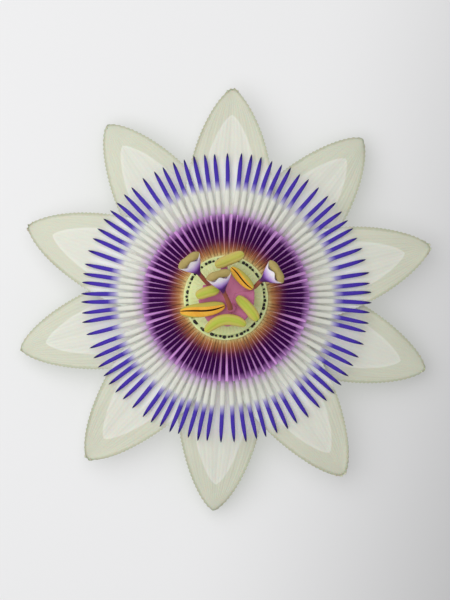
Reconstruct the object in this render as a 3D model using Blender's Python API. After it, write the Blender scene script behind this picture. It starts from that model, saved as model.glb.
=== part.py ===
"""A passion flower, picked with a short stalk and lying face up on its bracts.

Shapes are worked out in millimetres around the flower's own axis, with +Y towards the top
tepal, and are written to the meshes in metres.  Heights are above the cut end of the stalk.
"""
import math

import bmesh
import bpy
from mathutils import Matrix, Vector

MM = 0.001
GAP = 0.3                       # clearance between two pieces that touch
SHARP_ANGLE = 45                # degrees; steeper edges stay crisp

# stalk, bracts and cup
STALK_RADIUS = 1.5
STALK_TOP_RADIUS = 1.8
STALK_FLARE_START = 2.2
STALK_TOP = 3.2
BRACT_BEARINGS = (30, 150, 270)
BRACT_BASE = 2.1
BRACT_LENGTH = 17.0
BRACT_HALF_WIDTH = 6.2
BRACT_THICKNESS = 0.5
BRACT_RISE = 2.2                # the base stands this much above the tip
BRACT_CURL = 0.6                # lift of the side edges
CUP_BOTTOM = STALK_TOP + GAP
CUP_TOP = 8.0
CUP_RADIUS = 9.4
CUP_FOOT_RADIUS = 2.4
CUP_LIP_HEIGHT = 0.6
CUP_RIM_WIDTH = 2.0
CUP_HOLLOW = 0.5                # depth of the cup's middle below its rim

# sepals and petals
SEPAL_BEARINGS = (49, 124, 194, 267, 340)
PETAL_BEARINGS = (14, 88, 160, 229, 304)
TEPAL_LENGTH = 45.15            # from the axis to the tip
TEPAL_LENGTH_SWING = 0.4        # tepals on the -Y side are this much longer
TEPAL_BASE = 7.6
TEPAL_WIDEST = 22.0
TEPAL_HALF_WIDTH = 9.35
CLAW_HALF_WIDTH = 3.7
TIP_POWER = 1.65                # these two round off the tepal's tip
TIP_ROOT = 0.68
SEPAL_LEVEL = 8.7
PETAL_LEVEL = 9.6
SEPAL_THICKNESS = 0.6
PETAL_THICKNESS = 0.5
SEPAL_CURL = -0.25              # lift of the side edges
PETAL_CURL = 0.3
DROOP_START = 12.0
DROOP = 5.0                     # fall of a tepal's tip below its own base
DROOP_POWER = 1.6

# corona
FILAMENTS_PER_TEPAL = 8         # one more where two tepals stand far apart
FAR_APART = 37.5                # degrees
FIRST_FILAMENT = 1.0            # degrees past a tepal's middle
WIDE_GAP = 5.2                  # degrees to the next filament on both sides of that one
FILAMENT_TIP = 31.3
FILAMENT_BASE = 9.6
FILAMENT_HALF_WIDTH = 0.45
FILAMENT_THICKNESS = 0.5
FILAMENT_ROOT_SHARE = 0.6       # width at the ring, as a share of the full width
FILAMENT_STATIONS = ((13, 0.85), (18.2, 1), (22, 1), (26.5, 1), (29.7, 0.75), (FILAMENT_TIP, 0.1))
SAG_START = 18.2                # beyond the web the filaments come down towards the petals
SAG_END = 22.0
LOWER_ROW_SAG = 0.5
UPPER_ROW_SAG = 0.8
CORONA_HOLE = 4.0
WEB_RADIUS = 17.9
WEB_FLAT_RADIUS = 13.0
WEB_LEVEL = 10.45
WEB_THICKNESS = 0.25
RING_THICKNESS = 0.25
LOWER_RING_LEVEL = 11.0
UPPER_RING_LEVEL = 11.55
LOWER_ROW_LEVEL = 11.0
UPPER_ROW_LEVEL = 11.3

# inner corona and operculum
PLATE_RADIUS = 9.1
PLATE_LEVEL = 12.1
PLATE_THICKNESS = 0.3
KNOBS = 57
KNOB_RING = (8.05, 8.65)
KNOB_HEIGHT = 0.8
LID_RADIUS = 8.0
LID_HOLE = 2.0
LID_LEVEL = 12.7
LID_PROFILE = ((LID_HOLE, 0.1), (LID_RADIUS, 0), (LID_RADIUS, 0.3), (5, 0.55), (LID_HOLE, 0.7))

# column, stamens and anthers
COLUMN_RADIUS = 1.3
COLUMN_ROUTE = ((0, 0, 7.9), (0, 0, 11), (0, 0, 13.2), (0.4, -0.6, 15), (0.7, -1, 16.2),
                (0.7, -1, 16.5))
STAR_LEVEL = 16.8
STAR_THICKNESS = 0.6
PEG_RADIUS = 0.45
PEG_FOOT_RADIUS = 0.675
PEG_SINK = 0.5                  # depth of a peg's foot inside the star
STAR_OUTLINE = ((1.7, 5.8), (4.2, 4.4), (5.9, 2.2), (6.15, 0.2), (5.8, -2.2), (4.2, -4.8),
                (2.2, -5.6), (0.3, -6.2), (-1.8, -5.6), (-4.0, -5.0), (-5.2, -2.4),
                (-5.9, -0.6), (-5.0, 1.4), (-4.9, 2.8), (-3.4, 2.7), (-1.6, 4.2),
                (-1.1, 6.2), (-0.6, 7.6), (0.3, 8.6), (1.3, 8.6), (1.4, 7.9), (0.6, 7.3),
                (0.35, 6.5), (0.7, 6.0))

# One row for each anther: its two ends, half width, sideways bow and height of its underside.
ANTHERS = (((-2.3, 6.9), (3.9, 9.5), 1.15, 0.0, 17.9),
           ((1.1, 6.5), (5.8, 1.9), 1.15, 0.0, 19.1),
           ((2.3, 0.2), (6.8, -4.9), 1.15, 0.3, 17.9),
           ((-4.4, -7.3), (4.3, -5.9), 1.2, 1.9, 17.9),
           ((-9.8, -3.0), (-0.2, -1.6), 1.5, -0.3, 17.9),
           ((-6.4, 0.3), (-1.4, 1.8), 1.15, 0.2, 19.1))
ANTHER_HALF_HEIGHT = 0.65
ANTHER_END_POWER = 2.6          # higher for blunter ends

# ovary, styles and stigmas
OVARY_CENTRE = (1.15, -2.2)
OVARY_RADIUS = 0.95
OVARY_BOTTOM = STAR_LEVEL + STAR_THICKNESS + GAP
OVARY_TOP = 19.4
OVARY_FOOT_SHARE = 0.12         # share of the egg's turn that is cut off flat below
STYLE_RADIUS = 0.46
STYLES = {
    "left": ((0.1, -0.6, 18.3), (-0.9, 1.1, 18.2), (-3.2, 2.4, 18.2), (-4.4, 3.6, 18.5),
             (-5.9, 5.4, 19.2), (-7.5, 7.3, 20.2)),
    "right": ((1.5, -0.75, 18.3), (2.0, 0.9, 18.2), (4.2, 1.6, 18.2), (6.1, 2.3, 18.4),
              (7.5, 3.6, 19.2), (9.8, 5.0, 20.2)),
    "middle": ((1.0, -2.5, 19.75), (0.7, -1.4, 20.4), (0.1, 0.1, 21.0), (-0.5, 1.4, 21.6),
               (-1.3, 3.6, 22.6)),
}
TRUMPET_HALF_WIDTH = 2.6
TRUMPET_LENGTH = 2.8
TRUMPET_POWER = 1.4             # higher for a later opening
TRUMPET_LIFT = 0.4              # extra half height at the mouth
STIGMA_HALF_LENGTH = 2.75
STIGMA_RADIUS = 0.85
STIGMA_BOW = 0.5
STIGMA_END_POWER = 4

COLOURS = {
    "stalk": (0.30, 0.42, 0.16), "bract": (0.36, 0.50, 0.22), "cup": (0.44, 0.54, 0.30),
    "sepal": (0.66, 0.68, 0.52), "petal": (0.72, 0.74, 0.63), "web": (0.38, 0.17, 0.42),
    "corona": (0.16, 0.09, 0.32), "plate": (0.58, 0.66, 0.30), "lid": (0.56, 0.65, 0.30),
    "mauve": (0.41, 0.12, 0.22), "anther": (0.55, 0.48, 0.09), "ovary": (0.41, 0.12, 0.22),
    "style": (0.35, 0.20, 0.35), "stigma": (0.40, 0.33, 0.11),
}


def material(slot):
    """One plain waxy material for each kind of piece."""
    made = bpy.data.materials.get(slot) or bpy.data.materials.new(slot)
    made.use_nodes = True
    shader = made.node_tree.nodes["Principled BSDF"]
    shader.inputs["Base Color"].default_value = (*COLOURS[slot], 1)
    shader.inputs["Roughness"].default_value = 0.55
    shader.inputs["Metallic"].default_value = 0
    return made


def add_piece(name, bm, slot, flower, bearing=0):
    """Turn a bmesh in millimetres into a named object under the flower's empty."""
    bmesh.ops.recalc_face_normals(bm, faces=bm.faces)
    bm.transform(Matrix.Scale(MM, 4))
    mesh = bpy.data.meshes.new(name)
    bm.to_mesh(mesh)
    bm.free()
    mesh.shade_smooth()
    mesh.set_sharp_from_angle(angle=math.radians(SHARP_ANGLE))
    mesh.materials.append(material(slot))
    piece = bpy.data.objects.new(name, mesh)
    piece.rotation_euler.z = math.radians(bearing)
    piece.parent = flower
    bpy.context.collection.objects.link(piece)
    return piece


def smooth_route(points, steps):
    """Points of a Catmull-Rom curve through a few route points."""
    knots = [Vector(p) for p in points]
    knots = [2 * knots[0] - knots[1]] + knots + [2 * knots[-1] - knots[-2]]
    route = []
    for a, b, c, d in zip(knots, knots[1:], knots[2:], knots[3:]):
        for step in range(steps):
            t = step / steps
            route.append(0.5 * (2 * b + (c - a) * t + (2 * a - 5 * b + 4 * c - d) * t ** 2
                                + (3 * b - 3 * c + d - a) * t ** 3))
    route.append(knots[-2])
    return route


def sweep(route, half_widths, half_heights, sides):
    """A closed body around a route, with an ellipse of its own at every point."""
    bm = bmesh.new()
    loops = []
    across = (route[1] - route[0]).cross(Vector((0, 0, 1)))
    if across.length < 1e-3:
        across = Vector((1, 0, 0))
    for i, centre in enumerate(route):
        ahead = (route[min(i + 1, len(route) - 1)] - route[max(i - 1, 0)]).normalized()
        across = (across - ahead * across.dot(ahead)).normalized()
        up = across.cross(ahead)
        loop = []
        for side in range(sides):
            angle = 2 * math.pi * side / sides
            offset = across * half_widths[i] * math.cos(angle)
            loop.append(bm.verts.new(centre + offset + up * half_heights[i] * math.sin(angle)))
        loops.append(loop)
    for one, two in zip(loops, loops[1:]):
        for side in range(sides):
            after = (side + 1) % sides
            bm.faces.new((one[side], one[after], two[after], two[side]))
    bm.faces.new(loops[0])
    bm.faces.new(loops[-1])
    return bm


def turned(profile, segments):
    """A body turned around the axis from a closed profile of (radius, height) points."""
    bm = bmesh.new()
    verts = [bm.verts.new((radius, 0, height)) for radius, height in profile]
    edges = [bm.edges.new(pair) for pair in zip(verts, verts[1:])]
    edges.append(bm.edges.new((verts[-1], verts[0])))
    on_axis = [e for e in edges if all(v.co.x == 0 for v in e.verts)]
    bmesh.ops.delete(bm, geom=on_axis, context="EDGES")
    bmesh.ops.spin(bm, geom=bm.verts[:] + bm.edges[:], cent=(0, 0, 0), axis=(0, 0, 1),
                   angle=2 * math.pi, steps=segments, use_merge=True)
    bmesh.ops.remove_doubles(bm, verts=bm.verts, dist=1e-3)
    return bm


def droop(radius):
    """How far everything that spreads outwards has fallen at this distance from the axis."""
    reach = max(radius - DROOP_START, 0) / (TEPAL_LENGTH - DROOP_START)
    return DROOP * reach ** DROOP_POWER


def tepal_half_width(along, length):
    """Half width of a tepal at a distance from the axis: a claw that widens, then a point."""
    if along > TEPAL_WIDEST:
        t = (along - TEPAL_WIDEST) / (length - TEPAL_WIDEST)
        return TEPAL_HALF_WIDTH * (1 - min(t, 1) ** TIP_POWER) ** TIP_ROOT
    t = (along - TEPAL_BASE) / (TEPAL_WIDEST - TEPAL_BASE)
    return CLAW_HALF_WIDTH + (TEPAL_HALF_WIDTH - CLAW_HALF_WIDTH) * math.sin(t * math.pi / 2)


def sheet(rows, thickness, name, slot, flower, bearing):
    """A leafy piece: a grid of points as a surface, given its thickness by Solidify."""
    bm = bmesh.new()
    grid = [[bm.verts.new(point) for point in row] for row in rows]
    for one, two in zip(grid, grid[1:]):
        for i in range(len(one) - 1):
            bm.faces.new((one[i], one[i + 1], two[i + 1], two[i]))
    piece = add_piece(name, bm, slot, flower, bearing)
    solidify = piece.modifiers.new("thickness", "SOLIDIFY")
    solidify.thickness = thickness * MM
    solidify.offset = 0
    return piece


def make_tepal(name, slot, bearing, level, thickness, curl, flower):
    """One sepal or petal, spreading from the cup's rim and drooping to its tip."""
    length = TEPAL_LENGTH - TEPAL_LENGTH_SWING * math.sin(math.radians(bearing))
    lengthwise, crosswise = 10, 4
    rows = []
    for i in range(lengthwise + 1):
        share = 1 - (1 - i / lengthwise) ** 1.3
        along = TEPAL_BASE + (length - TEPAL_BASE) * share
        half_width = max(tepal_half_width(along, length), 0.3)
        row = []
        for j in range(crosswise + 1):
            side = 2 * j / crosswise - 1
            across = half_width * side
            height = level + curl * side ** 2 - droop(math.hypot(along, across))
            row.append((along, across, height))
        rows.append(row)
    sheet(rows, thickness, name, slot, flower, bearing)


def make_bract(name, bearing, flower):
    """An egg-shaped bract that leaves the stalk and comes down to the surface."""
    lengthwise, crosswise = 8, 4
    rows = []
    for i in range(lengthwise + 1):
        share = i / lengthwise
        along = BRACT_BASE + BRACT_LENGTH * share
        half_width = max(BRACT_HALF_WIDTH * math.sin(math.pi * share ** 0.8) ** 0.7, 0.5)
        height = BRACT_THICKNESS / 2 + BRACT_RISE * (1 - share) ** 2
        row = []
        for j in range(crosswise + 1):
            side = 2 * j / crosswise - 1
            row.append((along, half_width * side, height + BRACT_CURL * side ** 2))
        rows.append(row)
    sheet(rows, BRACT_THICKNESS, name, "bract", flower, bearing)


def make_stalk(flower):
    """The cut flower stalk, slightly wider where it meets the cup."""
    profile = [(0, 0), (STALK_RADIUS, 0), (STALK_RADIUS, STALK_FLARE_START),
               (STALK_TOP_RADIUS, STALK_TOP), (0, STALK_TOP)]
    add_piece("peduncle", turned(profile, 20), "stalk", flower)


def make_cup(flower):
    """The shallow green cup that carries the sepals, the petals and the corona."""
    steps = 6
    lip = CUP_TOP - CUP_LIP_HEIGHT
    profile = [(0, CUP_BOTTOM)]
    for i in range(steps + 1):
        angle = math.pi / 2 * i / steps
        radius = CUP_FOOT_RADIUS + (CUP_RADIUS - CUP_FOOT_RADIUS) * math.sin(angle)
        profile.append((radius, lip - (lip - CUP_BOTTOM) * math.cos(angle)))
    profile += [(CUP_RADIUS, CUP_TOP), (CUP_RADIUS - CUP_RIM_WIDTH, CUP_TOP),
                (0, CUP_TOP - CUP_HOLLOW)]
    add_piece("hypanthium", turned(profile, 40), "cup", flower)


def filament_bearings():
    """Bearings of all filaments, a little sparser over the middle of each tepal."""
    tepals = sorted(SEPAL_BEARINGS + PETAL_BEARINGS)
    bearings = []
    for this, following in zip(tepals, tepals[1:] + [tepals[0] + 360]):
        count = FILAMENTS_PER_TEPAL + (following - this > FAR_APART)
        gap = (following - this - 2 * WIDE_GAP) / (count - 2)
        bearings.append(this + FIRST_FILAMENT)
        bearings += [this + FIRST_FILAMENT + WIDE_GAP + gap * i for i in range(count - 1)]
    return [math.radians(bearing) for bearing in bearings]


def make_corona_row(name, bearings, ring_level, level, sag, flower):
    """One row of filaments: a flat ring whose outer wall is drawn out at each filament."""
    bm = bmesh.new()
    half = FILAMENT_HALF_WIDTH * FILAMENT_ROOT_SHARE / FILAMENT_BASE
    turns = [b + side * half for b in bearings for side in (-1, 1)]
    heights = (ring_level, ring_level + RING_THICKNESS)

    def circle(radius, height):
        spots = [(radius * math.cos(t), radius * math.sin(t), height) for t in turns]
        return [bm.verts.new(spot) for spot in spots]

    inner = [circle(CORONA_HOLE, height) for height in heights]
    outer = [circle(FILAMENT_BASE, height) for height in heights]
    roots = []
    for i in range(len(turns)):
        j = (i + 1) % len(turns)
        bm.faces.new((inner[0][i], inner[0][j], inner[1][j], inner[1][i]))
        bm.faces.new((inner[1][i], inner[1][j], outer[1][j], outer[1][i]))
        bm.faces.new((inner[0][i], inner[0][j], outer[0][j], outer[0][i]))
        wall = bm.faces.new((outer[0][i], outer[0][j], outer[1][j], outer[1][i]))
        if i % 2 == 0:
            roots.append(wall)
    for root, bearing in zip(roots, bearings):
        out = Vector((math.cos(bearing), math.sin(bearing), 0))
        side = Vector((-out.y, out.x, 0))
        for radius, share in FILAMENT_STATIONS:
            root = bmesh.ops.extrude_discrete_faces(bm, faces=[root])["faces"][0]
            middle = sum(v.co.z for v in root.verts) / 4
            sagged = min(max((radius - SAG_START) / (SAG_END - SAG_START), 0), 1)
            fall = droop(radius) + sag * sagged
            for vert in root.verts:
                across = math.copysign(FILAMENT_HALF_WIDTH * share, vert.co.dot(side))
                height = level - fall + FILAMENT_THICKNESS * (vert.co.z > middle)
                vert.co = out * radius + side * across + Vector((0, 0, height))
    add_piece(name, bm, "corona", flower)


def make_web(flower):
    """The thin lilac web that the filaments lie on."""
    top = WEB_LEVEL + WEB_THICKNESS
    fall = droop(WEB_RADIUS)
    profile = [(CORONA_HOLE, WEB_LEVEL), (WEB_FLAT_RADIUS, WEB_LEVEL),
               (WEB_RADIUS, WEB_LEVEL - fall), (WEB_RADIUS, top - fall),
               (WEB_FLAT_RADIUS, top), (CORONA_HOLE, top)]
    add_piece("corona_web", turned(profile, 48), "web", flower)


def make_inner_corona(flower):
    """The pale plate with its ring of short knobbed filaments."""
    low, high = PLATE_LEVEL, PLATE_LEVEL + PLATE_THICKNESS
    profile = [(CORONA_HOLE, low), (PLATE_RADIUS, low), (PLATE_RADIUS, high),
               (KNOB_RING[1], high), (KNOB_RING[0], high), (CORONA_HOLE, high)]
    bm = turned(profile, 2 * KNOBS)
    middle = sum(KNOB_RING) / 2
    cell = math.pi / KNOBS
    roots = []
    for face in bm.faces:
        centre = face.calc_center_median()
        turn = math.atan2(centre.y, centre.x) % (2 * math.pi)
        on_ring = abs(math.hypot(centre.x, centre.y) - middle) < 0.2
        if on_ring and centre.z > high - 0.1 and int(turn / cell) % 2 == 0:
            roots.append(face)
    knobs = bmesh.ops.extrude_discrete_faces(bm, faces=roots)["faces"]
    for knob in knobs:
        bmesh.ops.translate(bm, verts=knob.verts, vec=(0, 0, KNOB_HEIGHT))
    add_piece("inner_corona", bm, "plate", flower)


def make_operculum(flower):
    """The pale green lid inside the knobs, slightly domed around the column."""
    profile = [(radius, LID_LEVEL + height) for radius, height in LID_PROFILE]
    add_piece("operculum", turned(profile, 40), "lid", flower)


def make_column(flower):
    """The column that lifts the stamens and the ovary, leaning a little at its top."""
    route = smooth_route(COLUMN_ROUTE, 3)
    widths = [COLUMN_RADIUS] * len(route)
    add_piece("androgynophore", sweep(route, widths, widths, 14), "mauve", flower)


def anther_middle(ends, bow):
    """The middle of an anther's curved axis."""
    start, end = Vector(ends[0]), Vector(ends[1])
    along = (end - start).normalized()
    return (start + end) / 2 + Vector((-along.y, along.x)) * bow


def make_stamen_filaments(flower):
    """The flat mauve filaments, grown together into a star, with a peg under each anther."""
    bm = bmesh.new()
    outline = smooth_route([(x, y, STAR_LEVEL) for x, y in STAR_OUTLINE + STAR_OUTLINE[:1]], 2)
    face = bm.faces.new([bm.verts.new(point) for point in outline[:-1]])
    top = bmesh.ops.extrude_face_region(bm, geom=[face])["geom"]
    raised = [v for v in top if isinstance(v, bmesh.types.BMVert)]
    bmesh.ops.translate(bm, verts=raised, vec=(0, 0, STAR_THICKNESS))
    star = add_piece("stamen_filaments", bm, "mauve", flower)
    for number, (start, end, _, bow, underside) in enumerate(ANTHERS, 1):
        middle = anther_middle((start, end), bow)
        low, high = STAR_LEVEL + STAR_THICKNESS - PEG_SINK, underside - GAP
        pegs = bmesh.new()
        place = Matrix.Translation((middle.x, middle.y, (low + high) / 2))
        bmesh.ops.create_cone(pegs, cap_ends=True, segments=10, radius1=PEG_FOOT_RADIUS,
                              radius2=PEG_RADIUS, depth=high - low, matrix=place)
        peg = add_piece(f"peg_{number}", pegs, "mauve", flower)
        peg.hide_render = True
        peg.display_type = "WIRE"
        union = star.modifiers.new(f"peg {number}", "BOOLEAN")
        union.operation = "UNION"
        union.solver = "EXACT"
        union.object = peg


def make_anther(number, start, end, half_width, bow, underside, flower):
    """One anther: a plump bar with round ends, bowed sideways."""
    middle = anther_middle((start, end), bow)
    height = underside + ANTHER_HALF_HEIGHT
    steps = 10
    route, widths, heights = [], [], []
    for i in range(steps + 1):
        t = -math.cos(math.pi * i / steps)
        blend = (t + 1) / 2
        chord = Vector(start).lerp(Vector(end), blend)
        spot = chord + (middle - (Vector(start) + Vector(end)) / 2) * (1 - t * t)
        route.append(Vector((spot.x, spot.y, height)))
        share = max(1 - abs(t) ** ANTHER_END_POWER, 0.03) ** 0.5
        widths.append(half_width * share)
        heights.append(ANTHER_HALF_HEIGHT * share)
    add_piece(f"anther_{number}", sweep(route, widths, heights, 10), "anther", flower)


def make_ovary(flower):
    """The small egg-shaped ovary on the middle of the star."""
    steps = 6
    height = OVARY_TOP - OVARY_BOTTOM
    profile = [(0, OVARY_BOTTOM)]
    for i in range(steps):
        angle = math.pi * (OVARY_FOOT_SHARE + (1 - OVARY_FOOT_SHARE) * i / steps)
        radius = OVARY_RADIUS * math.sin(angle)
        profile.append((radius, OVARY_BOTTOM + height * (1 - math.cos(angle)) / 2))
    profile.append((0, OVARY_TOP))
    bm = turned(profile, 16)
    bmesh.ops.translate(bm, verts=bm.verts, vec=(*OVARY_CENTRE, 0))
    add_piece("ovary", bm, "ovary", flower)


def make_style(side, points, flower):
    """A style: a thin stem that opens into a flat trumpet."""
    route = smooth_route(points, 3)
    end = route[-1]
    widths, heights = [], []
    for spot in route:
        open_share = max(1 - (spot - end).length / TRUMPET_LENGTH, 0) ** TRUMPET_POWER
        widths.append(STYLE_RADIUS + (TRUMPET_HALF_WIDTH - STYLE_RADIUS) * open_share)
        heights.append(STYLE_RADIUS + TRUMPET_LIFT * open_share)
    add_piece(f"style_{side}", sweep(route, widths, heights, 10), "style", flower)


def make_stigma(side, points, flower):
    """The stigma: a kidney-shaped cap lying across the trumpet's mouth."""
    end = Vector(points[-1])
    ahead = (end - smooth_route(points, 3)[-2]).normalized()
    across = ahead.cross(Vector((0, 0, 1))).normalized()
    centre = end + ahead * (STIGMA_RADIUS + GAP + STIGMA_BOW)
    steps = 8
    route, radii = [], []
    for i in range(steps + 1):
        t = -math.cos(math.pi * i / steps)
        route.append(centre + across * STIGMA_HALF_LENGTH * t - ahead * STIGMA_BOW * t * t)
        radii.append(STIGMA_RADIUS * max(1 - abs(t) ** STIGMA_END_POWER, 0.05) ** 0.5)
    add_piece(f"stigma_{side}", sweep(route, radii, radii, 10), "stigma", flower)


def settle(flower):
    """Put the middle of the flower's box over the origin and its lowest point at height 0."""
    bpy.context.view_layer.update()
    graph = bpy.context.evaluated_depsgraph_get()
    points = []
    for piece in flower.children:
        if piece.display_type != "WIRE":
            solid = piece.evaluated_get(graph)
            points += [solid.matrix_world @ Vector(corner) for corner in solid.bound_box]
    low = [min(p[axis] for p in points) for axis in range(3)]
    high = [max(p[axis] for p in points) for axis in range(3)]
    flower.location = (-(low[0] + high[0]) / 2, -(low[1] + high[1]) / 2, -low[2])


def build():
    """Make every piece of the flower, from the stalk up."""
    for old in list(bpy.data.objects):
        bpy.data.objects.remove(old)
    flower = bpy.data.objects.new("flower", None)
    bpy.context.collection.objects.link(flower)
    make_stalk(flower)
    make_cup(flower)
    for number, bearing in enumerate(BRACT_BEARINGS, 1):
        make_bract(f"bract_{number}", bearing, flower)
    for number, bearing in enumerate(SEPAL_BEARINGS, 1):
        make_tepal(f"sepal_{number}", "sepal", bearing, SEPAL_LEVEL, SEPAL_THICKNESS,
                   SEPAL_CURL, flower)
    for number, bearing in enumerate(PETAL_BEARINGS, 1):
        make_tepal(f"petal_{number}", "petal", bearing, PETAL_LEVEL, PETAL_THICKNESS,
                   PETAL_CURL, flower)
    make_web(flower)
    bearings = filament_bearings()
    make_corona_row("corona_lower_row", bearings[0::2], LOWER_RING_LEVEL, LOWER_ROW_LEVEL,
                    LOWER_ROW_SAG, flower)
    make_corona_row("corona_upper_row", bearings[1::2], UPPER_RING_LEVEL, UPPER_ROW_LEVEL,
                    UPPER_ROW_SAG, flower)
    make_inner_corona(flower)
    make_operculum(flower)
    make_column(flower)
    make_stamen_filaments(flower)
    for number, anther in enumerate(ANTHERS, 1):
        make_anther(number, *anther, flower)
    make_ovary(flower)
    for side, points in STYLES.items():
        make_style(side, points, flower)
        make_stigma(side, points, flower)
    settle(flower)


build()
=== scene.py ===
# %% [markdown]
# # A passion flower
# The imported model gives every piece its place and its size.  This lesson puts the finished look
# around it: thin veined tepals, a ray of tapering filaments, and the fleshy middle.  Everything
# is in metres, so a small constant turns millimetres into them.  The flower's axis runs up
# through the cup, and heights start at the stalk's cut end.

# %% The frame
import math
import random

import bmesh
import bpy
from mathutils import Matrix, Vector


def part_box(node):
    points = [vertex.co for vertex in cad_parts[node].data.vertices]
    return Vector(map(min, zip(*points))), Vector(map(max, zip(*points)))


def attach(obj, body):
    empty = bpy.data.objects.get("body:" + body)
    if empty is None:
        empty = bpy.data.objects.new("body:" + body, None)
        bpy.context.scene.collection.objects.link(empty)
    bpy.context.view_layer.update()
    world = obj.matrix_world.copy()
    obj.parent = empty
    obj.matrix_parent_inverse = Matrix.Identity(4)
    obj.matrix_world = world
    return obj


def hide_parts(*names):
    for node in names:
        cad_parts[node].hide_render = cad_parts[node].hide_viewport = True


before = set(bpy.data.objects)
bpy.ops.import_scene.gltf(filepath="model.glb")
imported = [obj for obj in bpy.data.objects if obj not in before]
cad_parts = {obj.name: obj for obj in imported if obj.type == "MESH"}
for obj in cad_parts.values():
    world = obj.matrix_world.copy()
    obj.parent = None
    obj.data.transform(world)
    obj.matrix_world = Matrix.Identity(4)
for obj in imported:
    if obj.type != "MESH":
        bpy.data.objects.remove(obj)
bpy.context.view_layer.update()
MM = 0.001
END_SLACK = 0.02 * MM           # vertices this close to a node's far end count as its tip
cup_low, cup_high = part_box("hypanthium")
AXIS = (cup_low + cup_high) / 2
AXIS.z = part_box("peduncle")[0].z
print("flower axis in mm:", [round(v / MM, 2) for v in AXIS])


def height_of(node):
    """Height in mm of a node's top above the stalk's cut end."""
    return (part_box(node)[1].z - AXIS.z) / MM


def reach_of(node):
    """Bearing in radians and distance in mm of a node's end that is farthest from the axis."""
    spots = [(vert.co - AXIS).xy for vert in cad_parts[node].data.vertices]
    reach = max(spot.length for spot in spots)
    tip = sum((spot for spot in spots if spot.length > reach - END_SLACK), Vector((0, 0)))
    return math.atan2(tip.y, tip.x), reach / MM


# %% [markdown]
# ## Working habits
# Every piece starts as a primitive on the flower's axis.  An operator works on whatever is
# selected, so each start first clears the selection.  A shape that no operator gives, such as a
# drooping petal, is made by a rule that moves the vertices in millimetres round the axis.  At the
# end a piece's place and turn are applied to its mesh.

# %% Helpers for modelling
SHARP = math.radians(60)        # edges sharper than this stay sharp when a piece is shaded


def start(kind, name, **size):
    """Add one primitive on the flower's axis and name it."""
    bpy.ops.object.select_all(action="DESELECT")
    getattr(bpy.ops.mesh, f"primitive_{kind}_add")(location=AXIS, **size)
    piece = bpy.context.object
    piece.name = name
    return piece


def reshape(piece, rule):
    """Move every vertex by a rule from millimetres to millimetres."""
    for vert in piece.data.vertices:
        vert.co = rule(vert.co / MM) * MM


def note(piece, name, values):
    """Store one number for each vertex, for the material to read."""
    layer = piece.data.attributes.get(name) or piece.data.attributes.new(name, "FLOAT", "POINT")
    layer.data.foreach_set("value", values)


def stored_values(piece, name):
    """The numbers that a piece's vertices carry under a name."""
    return [item.value for item in piece.data.attributes[name].data]


def pick_out(*pieces):
    """Select only these pieces and make the first one active."""
    bpy.ops.object.select_all(action="DESELECT")
    for piece in pieces:
        piece.select_set(True)
    bpy.context.view_layer.objects.active = pieces[0]


def edit(piece, operator, kind="EDGE", chosen=None, **settings):
    """Run an edit operator on the active piece, or only on its chosen edges or faces."""
    bpy.ops.object.mode_set(mode="EDIT")
    bpy.ops.mesh.select_mode(type=kind)
    bpy.ops.mesh.select_all(action="DESELECT" if chosen else "SELECT")
    if chosen:
        mesh = bmesh.from_edit_mesh(piece.data)
        for element in mesh.edges if kind == "EDGE" else mesh.faces:
            element.select_set(chosen(element))
        bmesh.update_edit_mesh(piece.data)
    operator(**settings)
    bpy.ops.object.mode_set(mode="OBJECT")


def apply_modifier(piece, kind, **settings):
    """Add a modifier, set it and apply it."""
    bpy.context.view_layer.objects.active = piece
    modifier = piece.modifiers.new(kind.lower(), kind)
    for key, value in settings.items():
        setattr(modifier, key, value)
    bpy.ops.object.modifier_apply(modifier=modifier.name)


def copy_of(piece, name):
    """A copy of a piece with a mesh of its own."""
    copy = piece.copy()
    copy.data = piece.data.copy()
    copy.name = name
    bpy.context.scene.collection.objects.link(copy)
    return copy


def settle(piece, bearing=0.0):
    """Turn a piece to its bearing and put its place and turn into its mesh."""
    pick_out(piece)
    piece.rotation_euler.z = bearing
    bpy.ops.object.transform_apply(location=True, rotation=True, scale=True)
    return piece


def join(name, pieces):
    """Join finished pieces into one object."""
    pick_out(*pieces)
    bpy.ops.object.join()
    pieces[0].name = name
    return pieces[0]


def hand_over(piece, node, material):
    """Shade a finished piece, give it its material and say which CAD node it stands for."""
    edit(settle(piece), bpy.ops.mesh.normals_make_consistent, inside=False)
    bpy.ops.object.shade_smooth_by_angle(angle=SHARP)
    piece.data.materials.clear()
    piece.data.materials.append(material)
    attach(piece, "root")
    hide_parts(node)
    size = [round(v / MM, 1) for v in piece.dimensions]
    print(piece.name, "stands for", node, "and measures", size, "mm")


print("CAD nodes to finish:", len(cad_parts))

# %% [markdown]
# ## Materials as arithmetic
# A material is a net of nodes, which is long to write out.  A small class wraps a socket and
# turns plus, minus and times into Math nodes, and one method makes every other kind of node.

# %% A class for sockets and one for recipes
class Value:
    """A socket; arithmetic on it adds Math nodes to its recipe."""

    def __init__(self, recipe, socket):
        self.recipe = recipe
        self.socket = socket

    def __add__(self, other):
        return self.recipe.math("ADD", self, other)

    def __sub__(self, other):
        return self.recipe.math("SUBTRACT", self, other)

    def __mul__(self, other):
        return self.recipe.math("MULTIPLY", self, other)

    __radd__ = __add__


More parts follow.
